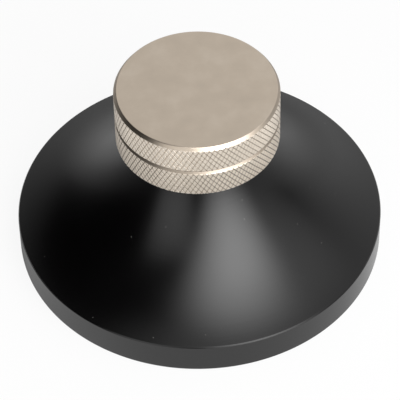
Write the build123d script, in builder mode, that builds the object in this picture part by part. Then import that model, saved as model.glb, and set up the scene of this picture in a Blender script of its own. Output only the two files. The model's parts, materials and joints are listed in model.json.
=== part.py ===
from build123d import *

import os
from math import cos, pi, radians, sin, tan

# A record clamp. A knurled knob stands on the neck of a flared base. Turning it draws a split collet up
# into a taper in the base, and the collet's jaws close on the record player's spindle.
# The origin is the centre of the underside, +Z is up the spindle, and all sizes are in millimetres.

# Base
overall_height = 50.0
base_diameter = 90.0
rim_height = 8.3
neck_diameter = 36.0
flare_hollow = 3.5
edge_break = 0.4
contact_ring_width = 9.0
relief_depth = 1.5

# Knob
knob_diameter = 39.6
knob_height = 15.3
knob_bevel_width = 0.64
knob_bevel_height = 0.9
knob_roof = 3.0
groove_width = 1.3
knurl_width = 1.28
knurl_length = 2.08
knurl_depth = 0.35

# Collet and spring
spindle_bore_diameter = 7.3
spindle_depth = 20.0
spindle_lead_in = 0.5
drill_point_angle = 118.0
shank_diameter = 10.0
shank_flats = 8.4
shank_chamfer = 0.8
cone_height = 11.5
cone_half_angle = 15.0
saw_cut_width = 0.8
saw_cut_height = 17.0
saw_cut_angle = 45.0
wire_diameter = 0.9
spring_length = 11.0
open_turns = 4
closed_turn_pitch = 1.0

# Travel and clearances
collet_lift = 1.0
seat_clearance = 0.05
thread_clearance = 0.06
running_gap = 0.05
shank_end_room = 1.0
spring_room = 0.35
spring_end_gap = 0.05
flats_margin = 0.5

# Places worked out from the sizes above
base_radius = base_diameter / 2
neck_radius = neck_diameter / 2
knob_seat = overall_height - knob_height
neck_top = knob_seat - running_gap
relief_radius = base_radius - contact_ring_width

shank_radius = shank_diameter / 2
spring_radius = shank_radius + spring_room + wire_diameter / 2
shoulder_radius = spring_radius + wire_diameter / 2 + spring_room
cone_slope = tan(radians(cone_half_angle))
collet_bottom = relief_depth
collet_radius = shoulder_radius + cone_height * cone_slope
shoulder_height = collet_bottom + cone_height
spring_seat = shoulder_height + spring_length
thread_roof = overall_height - knob_roof
shank_top = thread_roof - shank_end_room - collet_lift
flats_bottom = spring_seat - collet_lift - flats_margin
thread_bore_radius = shank_radius + thread_clearance

# The taper stands one lift above the open collet, so the cones all but meet when the knob is tight
seat_offset = seat_clearance / cos(radians(cone_half_angle))
chamber_radius = shoulder_radius + seat_offset
chamber_bottom = shoulder_height + collet_lift
mouth_radius = chamber_radius + (chamber_bottom - relief_depth) * cone_slope

os.makedirs("parts", exist_ok=True)


# Base: turned from black acetal, hollow flare outside, taper and spring chamber inside
with BuildPart() as base:
    with BuildSketch(Plane.XZ):
        with BuildLine():
            rim = Polyline(
                (relief_radius, 0),
                (base_radius - edge_break, 0),
                (base_radius, edge_break),
                (base_radius, rim_height - edge_break),
                (base_radius - edge_break, rim_height),
            )
            flare = SagittaArc(rim @ 1, (neck_radius, neck_top - edge_break), flare_hollow)
            Polyline(
                flare @ 1,
                (neck_radius - edge_break, neck_top),
                (0, neck_top),
                (0, spring_seat),
                (chamber_radius, spring_seat),
                (chamber_radius, chamber_bottom),
                (mouth_radius, relief_depth),
                (relief_radius, relief_depth),
                rim @ 0,
            )
        make_face()
    revolve(axis=Axis.Z)
    # The hole through the neck has two flats that stop the collet from turning
    with BuildSketch(Plane.XY.offset(spring_seat)):
        Circle(thread_bore_radius)
        Rectangle(
            shank_flats + 2 * thread_clearance,
            2 * thread_bore_radius,
            mode=Mode.INTERSECT,
        )
    extrude(amount=neck_top - spring_seat, mode=Mode.SUBTRACT)
base.part.label = "base"
export_step(base.part, "parts/base.step")


# Knob: a bevelled disc with two knurled bands, a V-groove between them and a blind threaded bore.
# The knurl is two crossing sets of helical grooves. Between them stand pyramids, so on a grid of half
# a diamond each way the skin's points are crests and groove crossings by turns, like a chequerboard.
crest_radius = knob_diameter / 2
root_radius = crest_radius - knurl_depth
knurl_starts = round(pi * knob_diameter / knurl_width)
band_height = (knob_height - knob_bevel_height - groove_width) / 2
band_rows = 2 * round(band_height / knurl_length)
half_step = pi / knurl_starts
groove_radius = crest_radius - groove_width / 2
groove_floor = knob_seat + band_height + groove_width / 2
bevel_radius = crest_radius - knob_bevel_width
bevel_slope = knob_bevel_height / knob_bevel_width


def skin_point(column, radius, height):
    """The point at a column of half a diamond's width, at this radius and height."""
    angle = column * half_step
    return Vector(radius * cos(angle), radius * sin(angle), height)


def turned_ring(radius, height):
    """The corner of a turned flank: one point beside every second column of the knurl."""
    return [skin_point(2 * start, radius, height) for start in range(knurl_starts)]


def end_row(flank_ring, slope):
    """A band's last row, where the flank that falls from flank_ring by this slope cuts across the knurl."""
    ring_radius = Vector(flank_ring[0].X, flank_ring[0].Y).length
    crossing_height = flank_ring[0].Z - slope * (root_radius - ring_radius)
    crest_height = crossing_height - slope * (crest_radius / cos(half_step) - root_radius)
    row = []
    for column in range(0, 2 * knurl_starts, 2):
        row.append(skin_point(column, root_radius, crossing_height))
        row.append(skin_point(column + 1, crest_radius, crest_height))
    return row


def middle_row(row, height):
    """A row of crests and crossings by turns, all at one height."""
    radii = [root_radius if (row + column) % 2 == 0 else crest_radius for column in range(2)]
    return [skin_point(column, radii[column % 2], height) for column in range(2 * knurl_starts)]


def knurl_faces(rows):
    """Two triangles for each cell of the grid, parted along the groove from crossing to crossing."""
    faces = []
    columns = 2 * knurl_starts
    for row in range(len(rows) - 1):
        for column in range(columns):
            low, low_next = rows[row][column], rows[row][(column + 1) % columns]
            high, high_next = rows[row + 1][column], rows[row + 1][(column + 1) % columns]
            if (row + column) % 2 == 0:
                halves = [(low, low_next, high_next), (low, high_next, high)]
            else:
                halves = [(low, low_next, high), (low_next, high_next, high)]
            faces.extend(Face(Wire.make_polygon(half)) for half in halves)
    return faces


def flank_faces(row, ring):
    """Flat faces of five sides from two crossings and the crest between them to a turned ring."""
    faces = []
    for start in range(knurl_starts):
        following = (start + 1) % knurl_starts
        corners = [row[2 * start], row[2 * start + 1], row[2 * following], ring[following], ring[start]]
        faces.append(Face(Wire.make_polygon(corners)))
    return faces


groove_ring = turned_ring(groove_radius, groove_floor)
bevel_ring = turned_ring(bevel_radius, overall_height)
row_height = band_height / band_rows
upper_band_bottom = groove_floor + groove_width / 2
lower_rows = [middle_row(row, knob_seat + row * row_height) for row in range(band_rows)]
lower_rows.append(end_row(groove_ring, 1))
upper_rows = [middle_row(row, upper_band_bottom + row * row_height) for row in range(1, band_rows)]
upper_rows = [end_row(groove_ring, -1), *upper_rows, end_row(bevel_ring, bevel_slope)]
knob_skin = [
    Face(Wire.make_polygon(lower_rows[0])),
    *knurl_faces(lower_rows),
    *flank_faces(lower_rows[-1], groove_ring),
    *flank_faces(upper_rows[0], groove_ring),
    *knurl_faces(upper_rows),
    *flank_faces(upper_rows[-1], bevel_ring),
    Face(Wire.make_polygon(bevel_ring)),
]
knurled_blank = Solid(Shell(knob_skin))

with BuildPart() as knob:
    add(knurled_blank)
    with BuildSketch(Plane.XY.offset(knob_seat)):
        Circle(thread_bore_radius)
    extrude(amount=thread_roof - knob_seat, mode=Mode.SUBTRACT)
knob.part.label = "knob"
export_step(knob.part, "parts/knob.step")


# Collet: turned from brass, drilled for the spindle, two flats on its threaded shank and two saw cuts
bore_radius = spindle_bore_diameter / 2
bore_top = collet_bottom + spindle_depth
drill_point = bore_radius / tan(radians(drill_point_angle / 2))
with BuildPart() as collet:
    with BuildSketch(Plane.XZ):
        with BuildLine():
            Polyline(
                (bore_radius + spindle_lead_in, collet_bottom),
                (collet_radius, collet_bottom),
                (shoulder_radius, shoulder_height),
                (shank_radius, shoulder_height),
                (shank_radius, shank_top - shank_chamfer),
                (shank_radius - shank_chamfer, shank_top),
                (0, shank_top),
                (0, bore_top + drill_point),
                (bore_radius, bore_top),
                (bore_radius, collet_bottom + spindle_lead_in),
                close=True,
            )
        make_face()
    revolve(axis=Axis.Z)
    with BuildSketch(Plane.XY.offset(flats_bottom)):
        Circle(base_radius)
        Rectangle(shank_flats, base_diameter, mode=Mode.SUBTRACT)
    extrude(amount=shank_top - flats_bottom, mode=Mode.SUBTRACT)
    with BuildSketch(Plane.XY.offset(collet_bottom)):
        with PolarLocations(0, 2, start_angle=saw_cut_angle, angular_range=180):
            Rectangle(base_diameter, saw_cut_width)
    extrude(amount=saw_cut_height, mode=Mode.SUBTRACT)
collet.part.label = "collet"
export_step(collet.part, "parts/collet.step")


# Return spring: wire wound round the shank, with one close turn at each end. The wire has a few flat
# sides and the coil a few steps to a turn, so that a spring that nobody sees stays light.
wire_sides = 8
steps_per_turn = 24
spring_bottom = shoulder_height + spring_end_gap
spring_height = spring_length - 2 * spring_end_gap
open_pitch = (spring_height - wire_diameter - 2 * closed_turn_pitch) / open_turns


def coil_height(turn):
    """Height of the wire's centre after so many turns: a close turn, the open turns, a close turn."""
    opened = min(max(turn - 1, 0), open_turns)
    return spring_bottom + wire_diameter / 2 + (turn - opened) * closed_turn_pitch + opened * open_pitch


def wire_section(step):
    """Corners of the wire's section at a step along the coil, in the plane of the spring's axis."""
    angle = 2 * pi * step / steps_per_turn
    height = coil_height(step / steps_per_turn)
    corners = []
    for side in range(wire_sides):
        bearing = 2 * pi * side / wire_sides
        radius = spring_radius + wire_diameter / 2 * cos(bearing)
        rise = wire_diameter / 2 * sin(bearing)
        corners.append(Vector(radius * cos(angle), radius * sin(angle), height + rise))
    return corners


coil = [wire_section(step) for step in range((open_turns + 2) * steps_per_turn + 1)]
wire_skin = [Face(Wire.make_polygon(coil[0])), Face(Wire.make_polygon(coil[-1]))]
for section, next_section in zip(coil, coil[1:]):
    for side in range(wire_sides):
        beside = (side + 1) % wire_sides
        low, low_beside = section[side], section[beside]
        high, high_beside = next_section[side], next_section[beside]
        wire_skin.append(Face(Wire.make_polygon([low, low_beside, high])))
        wire_skin.append(Face(Wire.make_polygon([low_beside, high_beside, high])))
wound_wire = Solid(Shell(wire_skin))

with BuildPart() as return_spring:
    add(wound_wire)
return_spring.part.label = "return_spring"
export_step(return_spring.part, "parts/return_spring.step")
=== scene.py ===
import json

import bpy
import numpy as np
from mathutils import Matrix, Quaternion, Vector


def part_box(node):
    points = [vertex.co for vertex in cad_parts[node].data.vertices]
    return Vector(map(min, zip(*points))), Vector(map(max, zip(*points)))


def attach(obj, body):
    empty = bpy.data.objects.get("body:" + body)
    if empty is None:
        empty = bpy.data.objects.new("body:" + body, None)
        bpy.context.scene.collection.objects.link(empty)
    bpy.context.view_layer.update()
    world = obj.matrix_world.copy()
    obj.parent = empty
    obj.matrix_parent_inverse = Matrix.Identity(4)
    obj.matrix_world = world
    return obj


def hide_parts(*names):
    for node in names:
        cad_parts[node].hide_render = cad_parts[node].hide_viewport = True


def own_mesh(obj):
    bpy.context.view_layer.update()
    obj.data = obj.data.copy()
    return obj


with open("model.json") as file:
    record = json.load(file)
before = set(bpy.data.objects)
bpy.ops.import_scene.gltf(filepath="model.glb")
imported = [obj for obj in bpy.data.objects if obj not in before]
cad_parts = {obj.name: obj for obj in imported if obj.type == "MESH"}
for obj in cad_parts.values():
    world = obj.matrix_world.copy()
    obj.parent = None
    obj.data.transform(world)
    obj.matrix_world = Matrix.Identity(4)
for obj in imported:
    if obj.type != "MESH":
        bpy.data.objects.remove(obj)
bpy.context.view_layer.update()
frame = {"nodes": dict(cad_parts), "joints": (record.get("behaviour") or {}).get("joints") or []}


# Base: a flared disc turned from black acetal rod and left satin by the lathe. Its underside is relieved,
# so that only an outer ring meets the record. It is bored from below for the spring and for the taper that
# closes the collet, and two flats key the hole through its neck.
base_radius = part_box("base")[1].x
neck_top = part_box("base")[1].z
rim_height = 0.0083
neck_radius = 0.018
flare_hollow = 0.0035
edge_break = 0.0004
edge_round = 0.0003
rim_chamfer = 0.00024
chamfer_round = 0.00004
inner_round = 0.00015
contact_ring_width = 0.009
relief_radius = base_radius - contact_ring_width
relief_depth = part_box("collet")[0].z
collet_lift = next(joint for joint in frame["joints"] if joint["name"] == "collet_lift")["range_m"][1]
cone_height = 0.0115
cone_half_angle = 15
cone_slope = np.tan(np.radians(cone_half_angle))
taper_gap = 0.000052
chamber_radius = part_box("collet")[1].x - cone_height * cone_slope + taper_gap
chamber_bottom = relief_depth + cone_height + collet_lift
mouth_radius = chamber_radius + (chamber_bottom - relief_depth) * cone_slope
spring_end_gap = 0.00005
spring_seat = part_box("return_spring")[1].z + spring_end_gap
shank_hole_radius = 0.00506
key_half_width = 0.00426
base_columns = 400
flare_points = 72
acetal_black = (0.0006, 0.0005, 0.0006, 1)
dust_grey = (0.14, 0.136, 0.13, 1)
speck_core = 0.018
speck_edge = 0.038


def flare_curve(rim, neck):
    """An arc from rim to neck, flare_hollow deep below the middle of its chord. Its half turn h has
    tan(h/2) = 2 hollow / chord, its radius R is chord / (2 sin h), and from its centre its points lie
    R (sin u, cos u) along and below the chord, with u from -h to h."""
    chord = np.linalg.norm(neck - rim)
    along = (neck - rim) / chord
    below = np.array([-along[1], along[0]])
    half_turn = 2 * np.arctan(2 * flare_hollow / chord)
    radius = chord / (2 * np.sin(half_turn))
    u = np.linspace(-half_turn, half_turn, flare_points)[:, None]
    forward, deep = np.sin(u) + np.sin(half_turn), np.cos(u) - np.cos(half_turn)
    return rim + radius * (forward * along + deep * below)


def rounded_outline(corners, rounding):
    """Rounds the corners of a closed outline. Corner c becomes the curve (1-t)^2 p + 2t(1-t) c + t^2 q,
    where p and q lie one rounding away on the runs before and after it. A point a little further along
    each run keeps the run's shading flat, and a corner with no rounding stays one point."""
    curve_points = 6
    further = 1.3
    same_point = 1e-8
    back = np.roll(corners, 1, axis=0) - corners
    ahead = np.roll(corners, -1, axis=0) - corners
    p = rounding[:, None] * back / np.linalg.norm(back, axis=1)[:, None]
    q = rounding[:, None] * ahead / np.linalg.norm(ahead, axis=1)[:, None]
    t = np.linspace(0, 1, curve_points)
    before = np.concatenate([[further], (1 - t) ** 2, [0]])[None, :, None]
    after = np.concatenate([[0], t**2, [further]])[None, :, None]
    points = (corners[:, None] + before * p[:, None] + after * q[:, None]).reshape(-1, 2)
    apart = np.linalg.norm(points - np.roll(points, 1, axis=0), axis=1) > same_point
    return points[apart]


def turned(outline, columns):
    """Carries an outline round the Z axis: its point (r, z) at angle a goes to (r cos a, r sin a, z). The
    angles run from -pi to pi and begin half a step in."""
    angle = (np.arange(columns) + 0.5) * 2 * np.pi / columns - np.pi
    radius, height = np.atleast_2d(outline)[:, 0, None], np.atleast_2d(outline)[:, 1, None]
    return np.stack(np.broadcast_arrays(radius * np.cos(angle), radius * np.sin(angle), height), axis=-1)


def ring_quads(rings, columns, closed=False):
    """Faces between rings: ring i and i+1, column j and j+1 bound a quad, and columns close into a circle.
    Where the section is closed too, the last ring meets the first."""
    row = np.arange(rings if closed else rings - 1)[:, None] * columns
    column = np.arange(columns)[None, :]
    above, beside = (row + columns) % (rings * columns), (column + 1) % columns
    corners = [row + column, row + beside, above + beside, above + column]
    return np.stack(corners, axis=-1).reshape(-1, 4)


def make_piece(name, points, faces, material, crease=30):
    """Puts points and faces into a mesh that is smooth, but for edges that turn by more than the crease,
    in degrees."""
    mesh = bpy.data.meshes.new(name)
    mesh.from_pydata(points.reshape(-1, 3).tolist(), [], faces)
    mesh.shade_smooth()
    mesh.set_sharp_from_angle(angle=np.radians(crease))
    mesh.materials.append(material)
    piece = bpy.data.objects.new(name, mesh)
    bpy.context.scene.collection.objects.link(piece)
    return piece


def add_node(tree, kind, inputs=None, **settings):
    """Adds a shader node. Settings are its own choices, and inputs its sockets, each a value or a link."""
    node = tree.nodes.new("ShaderNode" + kind)
    for setting, value in settings.items():
        setattr(node, setting, value)
    for socket, value in (inputs or {}).items():
        if isinstance(value, bpy.types.NodeSocket):
            tree.links.new(value, node.inputs[socket])
        else:
            node.inputs[socket].default_value = value
    return node


def vector_math(tree, operation, *values):
    """The outputs, Vector and Value, of one operation on values that are vectors or links."""
    return add_node(tree, "VectorMath", dict(enumerate(values)), operation=operation).outputs


def new_material(name):
    """A material with its tree of nodes, the sockets of its shader, and the surface's place in space."""
    material = bpy.data.materials.new(name)
    material.use_nodes = True
    tree = material.node_tree
    place = add_node(tree, "TexCoord").outputs["Object"]
    return material, tree, tree.nodes["Principled BSDF"].inputs, place


def lathe_rings(tree, place, scale, detail):
    """Uneven rings round the Z axis, as a turning tool leaves them: a noise of the distance from it."""
    across = vector_math(tree, "MULTIPLY", place, (1, 1, 0))["Vector"]
    from_axis = vector_math(tree, "LENGTH", across)["Value"]
    inputs = {"W": from_axis, "Scale": scale, "Detail": detail}
    return add_node(tree, "TexNoise", inputs, noise_dimensions="1D").outputs["Fac"]


def cloud(tree, place, scale, detail):
    """Soft unevenness from 0 to 1: a noise of the place in space."""
    return add_node(tree, "TexNoise", {"Vector": place, "Scale": scale, "Detail": detail}).outputs["Fac"]


def between(tree, value, low, high, start=0, end=1):
    """Goes evenly from low to high as the value goes from start to end, and stays there beyond them."""
    inputs = {"Value": value, "From Min": start, "From Max": end, "To Min": low, "To Max": high}
    return add_node(tree, "MapRange", inputs).outputs["Result"]


def colour_ramp(tree, value, stops):
    """Colours along a value: each stop is a place from 0 to 1 and a colour, with even blends between."""
    ramp = add_node(tree, "ValToRGB", {"Fac": value})
    elements = ramp.color_ramp.elements
    elements[0].position = stops[0][0]
    elements[1].position = stops[-1][0]
    for position, _ in stops[1:-1]:
        elements.new(position)
    for element, (_, colour) in zip(elements, stops):
        element.color = colour
    return ramp.outputs["Color"]


def satin_acetal():
    """Black acetal: dark all through, its satin skin a little uneven, with faint rings from the tool and
    a few specks of dust."""
    material, tree, surface, place = new_material("satin_acetal")
    surface["IOR"].default_value = 1.5
    rings = lathe_rings(tree, place, scale=1300, detail=3)
    bump = add_node(tree, "Bump", {"Height": rings, "Strength": 0.05, "Distance": 0.0001})
    tree.links.new(bump.outputs["Normal"], surface["Normal"])
    gloss = between(tree, cloud(tree, place, scale=60, detail=4), low=0.21, high=0.29)
    tree.links.new(gloss, surface["Roughness"])
    from_speck = add_node(tree, "TexVoronoi", {"Vector": place, "Scale": 260}).outputs["Distance"]
    dusty = colour_ramp(tree, from_speck, [(speck_core, dust_grey), (speck_edge, acetal_black)])
    tree.links.new(dusty, surface["Base Color"])
    return material


flare = flare_curve(
    np.array([base_radius - edge_break, rim_height]), np.array([neck_radius, neck_top - edge_break])
)
# The flare runs straight on to the wall of the rim, where it gets a chamfer, and to the top of the neck
rim_run, neck_run = flare[0] - flare[1], flare[-1] - flare[-2]
rim_corner = flare[0] + rim_run * (base_radius - flare[0, 0]) / rim_run[0]
rim_corners = rim_corner - rim_chamfer * np.array([[0, 1], rim_run / np.linalg.norm(rim_run)])
neck_corner = flare[-1] + neck_run * (neck_top - flare[-1, 1]) / neck_run[1]
bore_corners = np.array(
    [
        [shank_hole_radius, neck_top],
        [shank_hole_radius, spring_seat],
        [chamber_radius, spring_seat],
        [chamber_radius, chamber_bottom],
        [mouth_radius, relief_depth],
        [relief_radius, relief_depth],
        [relief_radius, 0],
    ]
)
base_corners = np.vstack([[[base_radius, 0]], rim_corners, flare, [neck_corner], bore_corners])
rim_rounding = [edge_round, chamfer_round, chamfer_round]
base_rounding = np.concatenate(
    [rim_rounding, np.zeros(flare_points), [edge_round], np.full(len(bore_corners), inner_round)]
)
base_outline = rounded_outline(base_corners, base_rounding)
base_rings = turned(base_outline, base_columns)
# The hole through the neck is flat on two sides, with the same rounding at its ends
keyed = base_outline[:, 0] < shank_hole_radius + 2 * inner_round
flat_reach = key_half_width + base_outline[keyed, :1] - shank_hole_radius
base_rings[keyed, :, 0] = np.clip(base_rings[keyed, :, 0], -flat_reach, flat_reach)
base_quads = ring_quads(len(base_rings), base_columns, closed=True)
base_body = make_piece("base_body", base_rings, base_quads.tolist(), satin_acetal())
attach(base_body, "base")
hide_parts("base")


# Return spring: steel wire wound round the collet's shank, with one close turn at each end. It stands
# between the collet's shoulder and the roof of the base's bore. The real spring shortens as the collet
# is drawn up, but this coil is fixed to the base and keeps its length.
spring_low, spring_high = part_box("return_spring")
wire_radius = 0.00045
coil_radius = spring_high.x - wire_radius
open_turns = 4
all_turns = open_turns + 2
close_pitch = 0.001
steps_per_turn = 48
wire_sides = 12
steel_grey = (0.42, 0.42, 0.43, 1)


def wound_wire():
    """A round wire on a coil: after n turns its centre is at coil_radius and at a height that climbs by the
    close pitch on the first and last turn and by the open pitch between. Round the centre, its skin is a
    circle in a plane through the axis."""
    turns = np.linspace(0, all_turns, all_turns * steps_per_turn + 1)[:, None]
    opened = np.clip(turns - 1, 0, open_turns)
    open_pitch = (spring_high.z - spring_low.z - 2 * wire_radius - 2 * close_pitch) / open_turns
    centre = spring_low.z + wire_radius + (turns - opened) * close_pitch + opened * open_pitch
    side = np.linspace(0, 2 * np.pi, wire_sides, endpoint=False)[None, :]
    reach, height = coil_radius + wire_radius * np.cos(side), centre + wire_radius * np.sin(side)
    x, y = reach * np.cos(2 * np.pi * turns), reach * np.sin(2 * np.pi * turns)
    return np.stack([x, y, height], axis=-1)


def drawn_steel():
    """Spring wire: dull drawn steel, uneven in its gloss."""
    material, tree, surface, place = new_material("drawn_steel")
    surface["Base Color"].default_value = steel_grey
    surface["Metallic"].default_value = 1
    gloss = between(tree, cloud(tree, place, scale=900, detail=3), low=0.3, high=0.5)
    tree.links.new(gloss, surface["Roughness"])
    return material


wire_rings = wound_wire()
wire_quads = ring_quads(len(wire_rings), wire_sides)[:, ::-1]
first_end = np.arange(wire_sides)
last_end = first_end + (len(wire_rings) - 1) * wire_sides
wire_faces = [*wire_quads.tolist(), first_end.tolist(), last_end[::-1].tolist()]
spring_coil = make_piece("spring_coil", wire_rings, wire_faces, drawn_steel(), crease=50)
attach(spring_coil, "base")
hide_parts("return_spring")
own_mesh(spring_coil)


# Collet: turned from brass bar, drilled for the spindle and split by two crossing saw cuts. Its shank goes
# up through the spring and the keyed hole into the knob, and its cone sits in the base's taper.
brass_yellow = (0.62, 0.43, 0.17, 1)


def turned_brass():
    """Brass as turned: fine rings round the axis in its gloss."""
    material, tree, surface, place = new_material("turned_brass")
    surface["Base Color"].default_value = brass_yellow
    surface["Metallic"].default_value = 1
    gloss = between(tree, lathe_rings(tree, place, scale=5000, detail=2), low=0.22, high=0.42)
    tree.links.new(gloss, surface["Roughness"])
    return material


collet = frame["nodes"]["collet"]
collet.data.materials.clear()
collet.data.materials.append(turned_brass())


# Knob: turned from brass bar and plated with satin nickel. It has a bevelled flat top and two bands of
# diamond knurling with a V-groove between them, and a blind threaded bore that screws down over the
# collet's shank.
knob_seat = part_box("knob")[0].z
knob_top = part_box("knob")[1].z
knob_radius = 0.0198
knob_roof = 0.003
bore_roof = knob_top - knob_roof
bevel_width = 0.00064
bevel_height = 0.0009
bevel_slope = bevel_height / bevel_width
bevel_round = 0.00015
groove_width = 0.0013
groove_depth = 0.00046
groove_radius = knob_radius - groove_depth
groove_floor = (knob_seat + knob_top - bevel_height) / 2
flank_slope = groove_width / 2 / groove_depth
knurl_depth = 0.0001
lip_depth = 0.000125
lip_radius = knob_radius - lip_depth
inside_knurl = knob_radius - (knurl_depth + lip_depth) / 2
groove_share = 0.11
right_starts = 101
right_climb = 410
left_starts = 91
left_climb = 550
knob_columns = 360
# Crests paler than the plate are partly wear from hands and partly a painted highlight for the light they
# catch. The grime colours darken the grooves, partly with grime and partly with painted shade, and the
# V-groove's mark, lower than the plain one, paints shade under the upper band.
worn_and_painted_highlight_nickel = (0.92, 0.829, 0.718, 1)
nickel_plate = (0.62, 0.53, 0.432, 1)
thin_grime_and_painted_shade = (0.28, 0.24, 0.2, 1)
deep_grime_and_painted_shade = (0.08, 0.068, 0.055, 1)
plain_mark = 0.8
v_groove_painted_shade_mark = 0.62
grime_and_shade_mark = 0.5
stain_depth = 0.07
# Each band's darkening in its right-hand and its left-hand grooves, partly grime and partly painted shade:
# the lower band is painted darker for the black base below it, and the two hands differ for the side the
# light falls from
lower_band_grime_and_shade = np.array([0.48, 0.84])
upper_band_grime_and_shade = np.array([0.17, 0.48])


def knurl_skin(bottom, top):
    """The skin of a knurl from bottom to top, with some to spare, as loose triangles. The right-hand
    grooves lie where a = A t - p z is a whole number and the left-hand ones where b = B t + q z is: t is
    the share of a turn, A and B are the starts, and p and q are the climbs, in grooves passed per metre of
    height. Each cell of the lattice (a, b) is a diamond with a flat crest, and within groove_share of its
    sides it falls evenly to the groove. Strip by strip of cells, the grid has points only at those
    creases."""
    spare_below, spare_above = 2, 5
    z_per_cell = 1 / (left_climb + left_starts * right_climb / right_starts)
    cells = int((top - bottom) / z_per_cell) + spare_below + spare_above
    shares = np.array([0, groove_share, 1 - groove_share])
    strip = np.arange(right_starts)[:, None, None]
    lowest = np.floor(left_starts * strip / right_starts) - spare_below
    a = strip + np.append(shares, 1)[None, :, None]
    b = lowest + (np.arange(cells)[:, None] + shares).ravel()[None, None, :]
    a, b = np.broadcast_arrays(a, b)
    z = (b - left_starts * a / right_starts) * z_per_cell
    angle = 2 * np.pi * (a + right_climb * z) / right_starts
    to_groove = np.minimum(np.abs(a - np.round(a)), np.abs(b - np.round(b)))
    radius = knob_radius - knurl_depth * np.clip(1 - to_groove / groove_share, 0, 1)
    points = np.stack([radius * np.cos(angle), radius * np.sin(angle), bottom + z], axis=-1)
    low, beside = points[:, :-1, :-1], points[:, 1:, :-1]
    high, opposite = points[:, :-1, 1:], points[:, 1:, 1:]
    # Beside a crossing, a square is halved along the crease from the crossing to the corner of the crest
    column = np.arange(len(shares))[None, :, None]
    row = np.arange(low.shape[2])[None, None, :] % len(shares)
    straight = np.broadcast_to((column == 0) == (row == 0), low.shape[:3])[..., None, None]
    first = np.where(
        straight, np.stack([low, beside, opposite], axis=3), np.stack([low, beside, high], axis=3)
    )
    second = np.where(
        straight, np.stack([low, opposite, high], axis=3), np.stack([beside, opposite, high], axis=3)
    )
    return np.concatenate([first.reshape(-1, 3, 3), second.reshape(-1, 3, 3)])


def trimmed(triangles, height):
    """Keeps what lies where the function height is below zero. A triangle with corners on both sides is
    cut along the line between the places on its edges where the height, taken as even along them, is
    zero."""
    level = height(triangles)
    out = level > 0
    kept = [triangles[~out.any(axis=1)]]
    for lone_is_out in (True, False):
        cut = out.sum(axis=1) == (1 if lone_is_out else 2)
        lone = np.argmax(out[cut] == lone_is_out, axis=1)
        turn = (lone[:, None] + np.arange(3)) % 3
        corner = np.take_along_axis(triangles[cut], turn[:, :, None], axis=1)
        depth = np.take_along_axis(level[cut], turn, axis=1)
        share = depth[:, :1] / (depth[:, :1] - depth[:, 1:])
        crossing = corner[:, :1] + share[:, :, None] * (corner[:, 1:] - corner[:, :1])
        if lone_is_out:
            kept.append(np.stack([crossing[:, 0], corner[:, 1], corner[:, 2]], axis=1))
            kept.append(np.stack([crossing[:, 0], corner[:, 2], crossing[:, 1]], axis=1))
        else:
            kept.append(np.stack([corner[:, 0], crossing[:, 0], crossing[:, 1]], axis=1))
    return np.concatenate(kept)


def welded(triangles):
    """Gives loose triangles shared points, by joining corners that agree to a tenth of a micron."""
    steps_per_metre = 1e7
    corners = triangles.reshape(-1, 3)
    rounded = np.round(corners * steps_per_metre)
    _, first, number = np.unique(rounded, axis=0, return_index=True, return_inverse=True)
    faces = number.reshape(-1, 3)
    whole = (faces != np.roll(faces, 1, axis=1)).all(axis=1)
    return corners[first], faces[whole]


def rim_rings(band):
    """The lower and upper rim of a band of triangles: the points of its open edges, in order of angle."""
    points, faces = welded(band)
    edges = np.sort(np.stack([faces, np.roll(faces, 1, axis=1)], axis=-1).reshape(-1, 2), axis=1)
    edge, uses = np.unique(edges, axis=0, return_counts=True)
    rim = points[np.unique(edge[uses == 1])]
    rim = rim[np.argsort(np.arctan2(rim[:, 1], rim[:, 0]))]
    lower = rim[:, 2] < (rim[:, 2].min() + rim[:, 2].max()) / 2
    return rim[lower], rim[~lower]


def zipped(rings):
    """Triangles between rings of any number of points. Going round by angle, each point makes a triangle
    with the one before it on its ring and the last point passed on the other. A ring of one point is a
    pole."""
    skins = []
    for lower, upper in zip(rings, rings[1:]):
        low_angle, high_angle = np.arctan2(lower[:, 1], lower[:, 0]), np.arctan2(upper[:, 1], upper[:, 0])
        last_high = upper[np.searchsorted(high_angle, low_angle, side="left") - 1]
        last_low = lower[np.searchsorted(low_angle, high_angle, side="right") - 1]
        skins.append(np.stack([np.roll(lower, 1, axis=0), lower, last_high], axis=1))
        skins.append(np.stack([upper, np.roll(upper, 1, axis=0), last_low], axis=1))
    return np.concatenate(skins)


def knob_rings(corners, rounding):
    """The rings of a stretch of the knob's section, its corners rounded. A corner on the axis is a pole."""
    outline = rounded_outline(np.array(corners), np.array(rounding))
    return [turned(point, knob_columns if point[0] > 0 else 1)[0] for point in outline]


def v_half_height(points):
    """Half the V-groove's height at the points' distance from the axis: none at its floor, and growing by
    the slope of its flanks from there outwards."""
    return flank_slope * (np.hypot(points[..., 0], points[..., 1]) - groove_radius)


def above_bevel(points):
    """How far points lie above the bevel, which falls by bevel_slope from its upper edge outwards."""
    past_edge = np.hypot(points[..., 0], points[..., 1]) - knob_radius + bevel_width
    return points[..., 2] - knob_top + bevel_slope * past_edge


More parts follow.
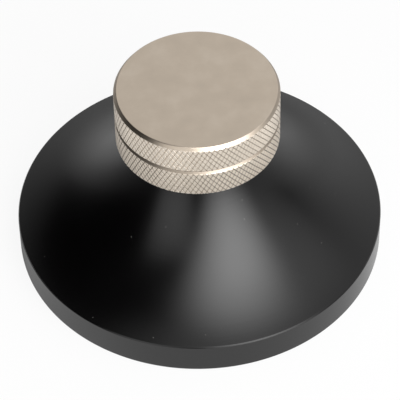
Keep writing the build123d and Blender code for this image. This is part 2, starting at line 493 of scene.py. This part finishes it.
def knob_skin():
    """The knob's closed skin. A knurl is trimmed to two bands by the seat, the flanks of the V-groove and
    the bevel. Turned rings follow the rest of its section: from the roof of the bore down and out to the
    lower band, from band to band, and from the upper band inwards. The flanks and the bevel begin at the
    lip, just under the knurl's grooves."""
    knurl = knurl_skin(knob_seat, knob_top)
    lower_band = trimmed(knurl, lambda points: knob_seat - points[..., 2])
    lower_band = trimmed(lower_band, lambda points: points[..., 2] - groove_floor + v_half_height(points))
    upper_band = trimmed(knurl, lambda points: groove_floor - points[..., 2] + v_half_height(points))
    upper_band = trimmed(upper_band, above_bevel)
    seat_rim, groove_lower_rim = rim_rings(lower_band)
    groove_upper_rim, bevel_rim = rim_rings(upper_band)
    bore = knob_rings(
        [
            [0, bore_roof],
            [shank_hole_radius, bore_roof],
            [shank_hole_radius, knob_seat],
            [groove_radius, knob_seat],
        ],
        [0, inner_round, inner_round, 0],
    )
    top = knob_rings(
        [
            [lip_radius, knob_top - bevel_height + bevel_slope * lip_depth],
            [knob_radius - bevel_width, knob_top],
            [0, knob_top],
        ],
        [0, bevel_round, 0],
    )
    drop = flank_slope * (groove_depth - lip_depth)
    v_outline = [
        [lip_radius, groove_floor - drop],
        [groove_radius, groove_floor],
        [lip_radius, groove_floor + drop],
    ]
    v_groove = turned(np.array(v_outline), knob_columns)
    return np.concatenate(
        [
            zipped([*bore, seat_rim]),
            lower_band,
            zipped([groove_lower_rim, *v_groove, groove_upper_rim]),
            upper_band,
            zipped([bevel_rim, *top]),
        ]
    )


def scalar_math(tree, operation, *values, **settings):
    """The result of one operation on values that are numbers or links."""
    return add_node(tree, "Math", dict(enumerate(values)), operation=operation, **settings).outputs["Value"]


def satin_nickel():
    """Satin nickel: pale, warm and faintly stained, with a fine grain in its gloss. By the mark that the
    mesh carries, the crests of the knurl are paler, partly worn and partly a painted highlight, turned
    faces are plain, the V-groove is darker with painted shade, and grooves hold a dull grime that is
    partly painted shade."""
    material, tree, surface, place = new_material("satin_nickel")
    surface["Metallic"].default_value = 1
    wear_and_painted_light = add_node(tree, "Attribute", attribute_name="wear_and_painted_light").outputs["Fac"]
    stain = between(tree, cloud(tree, place, scale=160, detail=3), low=-stain_depth, high=stain_depth)
    stained = scalar_math(tree, "ADD", wear_and_painted_light, stain)
    # Paler than the plate is partly wear and partly painted highlight; the grime stops are partly grime and
    # partly painted shade
    stops = [(0, deep_grime_and_painted_shade), (grime_and_shade_mark, thin_grime_and_painted_shade), (plain_mark, nickel_plate), (1, worn_and_painted_highlight_nickel)]
    tree.links.new(colour_ramp(tree, stained, stops), surface["Base Color"])
    grimy_gloss = between(tree, wear_and_painted_light, low=0.75, high=0.27, end=plain_mark)
    rubbed_gloss = between(tree, wear_and_painted_light, low=grimy_gloss, high=0.36, start=plain_mark)
    grain = cloud(tree, place, scale=2500, detail=3)
    gloss = scalar_math(tree, "MULTIPLY_ADD", grain, 0.12, rubbed_gloss)
    tree.links.new(gloss, surface["Roughness"])
    return material


def wear_and_painted_light_share(points):
    """The mark at the knob's points, of wear and painted light: 1 on a crest of the knurl, which is partly
    worn pale and partly a painted highlight, less its band's grime and painted shade in a right-hand
    groove, in a left-hand groove, or in both where they cross. The V-groove and the other turned faces
    have marks of their own, the V-groove's lower for painted shade."""
    x, y, z = points.T
    turn, rise = np.arctan2(y, x) / (2 * np.pi), z - knob_seat
    lattice = np.stack([right_starts * turn - right_climb * rise, left_starts * turn + left_climb * rise])
    in_groove = np.clip(1 - np.abs(lattice - np.round(lattice)) / groove_share, 0, 1)
    # Painted shade as well as grime: the lower band and one hand of groove are darker for how the light
    # falls, and crossings darker still
    grime_and_shade = np.where(z > groove_floor, upper_band_grime_and_shade @ in_groove, lower_band_grime_and_shade @ in_groove)
    knurled = np.clip(1 - grime_and_shade, 0, 1)
    # The V-groove's mark is lower than the plain one: painted shade under the upper band
    plain = np.where(np.abs(z - groove_floor) < groove_width / 2, v_groove_painted_shade_mark, plain_mark)
    return np.where(np.hypot(x, y) > inside_knurl, knurled, plain)


knob_points, knob_faces = welded(knob_skin())
knurled_knob = make_piece("knurled_knob", knob_points, knob_faces.tolist(), satin_nickel())
wear_and_painted_light_marks = knurled_knob.data.attributes.new("wear_and_painted_light", "FLOAT", "POINT")
wear_and_painted_light_marks.data.foreach_set("value", wear_and_painted_light_share(knob_points))
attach(knurled_knob, "knob")
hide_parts("knob")


# Floor: a white table under the clamp. To the eye it glows white. In reflections its glow is painted
# light: white before the clamp and dimmer round it and far out, with a painted shadow at the clamp's
# foot, deepest at its left rear. It still takes a faint real shadow, and from below it is clear, so
# that the underside can be seen.
floor_half_width = 4.0
floor_glow = 0.9
floor_white = (0.8, 0.8, 0.8, 1)
# Glow seen in reflections: a painted shadow at the clamp's foot, painted light paler before the clamp, and a
# dimmer floor far out
painted_shadow_glow = {"level": 0.66, "slope": (0.5, -0.75, 0)}
open_glow = {"level": 1.28, "slope": (-0.1, -1.1, 0)}
far_glow = {"level": 0.25, "slope": (0.14, 0.22, 0)}
painted_shadow_end = 0.054
open_end = 0.09
far_start = 0.16


def white_table():
    """White that reads as white: rays from the eye meet mostly a glow of strength 1. In reflections the
    glow is painted light: a level plus the part along a slope of the direction from the clamp, at most 1,
    so that it is paler before the clamp than behind it. Going out, it passes evenly from a painted shadow
    at the clamp's foot to the open floor at the end of that shadow, and from open_end to the dimmer floor
    at far_start."""
    material = bpy.data.materials.new("white_table")
    material.use_nodes = True
    tree = material.node_tree
    tree.nodes.remove(tree.nodes["Principled BSDF"])
    place = add_node(tree, "TexCoord").outputs["Object"]
    bearing = vector_math(tree, "NORMALIZE", place)["Vector"]
    distance = vector_math(tree, "LENGTH", place)["Value"]

    def glow_towards(level, slope):
        part = vector_math(tree, "DOT_PRODUCT", bearing, slope)["Value"]
        return scalar_math(tree, "ADD", part, level, use_clamp=True)

    # The painted shadow at the clamp's foot, the open floor with its painted light, and the dimmer far floor
    painted_shadow, bright, far = (glow_towards(**stretch) for stretch in (painted_shadow_glow, open_glow, far_glow))
    near = between(tree, distance, low=painted_shadow, high=bright, start=base_radius, end=painted_shadow_end)
    mirrored = between(tree, distance, low=near, high=far, start=open_end, end=far_start)
    path = add_node(tree, "LightPath").outputs
    seen = scalar_math(tree, "MAXIMUM", path["Is Camera Ray"], path["Is Glossy Ray"])
    seen = scalar_math(tree, "MAXIMUM", seen, path["Is Transmission Ray"])
    share = scalar_math(tree, "MULTIPLY", seen, floor_glow)
    strength = scalar_math(tree, "MAXIMUM", path["Is Camera Ray"], mirrored)
    matt = add_node(tree, "BsdfDiffuse", {"Color": floor_white}).outputs["BSDF"]
    glow = add_node(tree, "Emission", {"Strength": strength}).outputs["Emission"]
    top = add_node(tree, "MixShader", {0: share, 1: matt, 2: glow}).outputs["Shader"]
    clear = add_node(tree, "BsdfTransparent").outputs["BSDF"]
    below = add_node(tree, "NewGeometry").outputs["Backfacing"]
    both = add_node(tree, "MixShader", {0: below, 1: top, 2: clear}).outputs["Shader"]
    tree.links.new(both, tree.nodes["Material Output"].inputs["Surface"])
    return material


floor_corners = np.array([[-1, -1, 0], [1, -1, 0], [1, 1, 0], [-1, 1, 0]]) * floor_half_width
floor = make_piece("floor", floor_corners, [[0, 1, 2, 3]], white_table())


# Light: a tall softbox to the right of the viewer, dim ones beyond it and overhead, a small one to the
# left, and a room that is dark on the left and paler overhead, behind and on the right.
room_level = -0.55
room_slope = (0.45, 1.22, 0.67)
clamp_middle = Vector((0, 0, 0.02))
lamp_distance = 0.8


def faded_cloth(tree, fade):
    """A softbox's cloth, bright in the middle and dark at the edges: with u and v from 0 to 1 across it,
    its light is (4 u (1-u) 4 v (1-v)) to the power of fade."""
    cloth = add_node(tree, "NewGeometry").outputs["Parametric"]
    left_over = vector_math(tree, "SUBTRACT", (1, 1, 0), cloth)["Vector"]
    dome = vector_math(tree, "MULTIPLY", cloth, left_over)["Vector"]
    sides = add_node(tree, "SeparateXYZ", {"Vector": dome}).outputs
    product = scalar_math(tree, "MULTIPLY", sides["X"], sides["Y"])
    full = scalar_math(tree, "MULTIPLY", product, 4 * 4)
    faded = scalar_math(tree, "POWER", full, fade)
    tree.links.new(faded, tree.nodes["Emission"].inputs["Strength"])


def softbox(name, azimuth, elevation, width, height, radiance, fade, lean=0):
    """A rectangular lamp that faces the clamp. Azimuth goes from the viewer's side round to the right, lean
    turns the lamp about the line to the clamp, and its power is pi times its area times its radiance."""
    lamp = bpy.data.lights.new(name, "AREA")
    lamp.shape = "RECTANGLE"
    lamp.size = width
    lamp.size_y = height
    lamp.energy = np.pi * width * height * radiance
    lamp.use_nodes = True
    faded_cloth(lamp.node_tree, fade)
    a, e = np.radians(azimuth), np.radians(elevation)
    away = Vector((np.sin(a) * np.cos(e), -np.cos(a) * np.cos(e), np.sin(e)))
    facing = away.to_track_quat("Z", "Y") @ Quaternion((0, 0, 1), np.radians(lean))
    stand = bpy.data.objects.new(name, lamp)
    stand.location = clamp_middle + lamp_distance * away
    stand.rotation_euler = facing.to_euler()
    bpy.context.scene.collection.objects.link(stand)


def room_light():
    """The room: its light in a direction is room_level plus the direction's part along room_slope, kept
    between none and white."""
    world = bpy.data.worlds.new("room")
    world.use_nodes = True
    bpy.context.scene.world = world
    tree = world.node_tree
    direction = add_node(tree, "TexCoord").outputs["Generated"]
    part = vector_math(tree, "DOT_PRODUCT", direction, room_slope)["Value"]
    level = scalar_math(tree, "ADD", part, room_level, use_clamp=True)
    tree.links.new(level, tree.nodes["Background"].inputs["Strength"])
    tree.nodes["Background"].inputs["Color"].default_value = (1, 1, 1, 1)


softbox("key_softbox", azimuth=29.8, elevation=33.6, width=1.15, height=1.65, radiance=6.3, fade=2, lean=8)
softbox("side_softbox", azimuth=73, elevation=31, width=0.9, height=1.15, radiance=1, fade=1)
softbox("top_softbox", azimuth=40, elevation=80, width=0.84, height=0.84, radiance=0.82, fade=1)
softbox("fill_softbox", azimuth=-28.7, elevation=11.5, width=0.62, height=0.74, radiance=1.3, fade=0.5)
room_light()


# Camera: a long lens before the clamp, looking down at it at 48 degrees and tilted a little. Angles are in
# degrees, and the lens and its sensor in millimetres.
camera_place = (0.00037, -0.40992, 0.46934)
camera_yaw = -0.026
camera_pitch = 48.23
camera_roll = -1.29
camera_lens = 223.34
camera_sensor = 36

camera = bpy.data.objects.new("camera", bpy.data.cameras.new("camera"))
camera.data.sensor_width = camera_sensor
camera.data.lens = camera_lens
camera.matrix_world = (
    Matrix.Translation(camera_place)
    @ Matrix.Rotation(np.radians(-camera_yaw), 4, "Z")
    @ Matrix.Rotation(np.radians(90 - camera_pitch), 4, "X")
    @ Matrix.Rotation(np.radians(camera_roll), 4, "Z")
)
bpy.context.scene.collection.objects.link(camera)
bpy.context.scene.camera = camera
bpy.context.scene.view_settings.view_transform = "Standard"
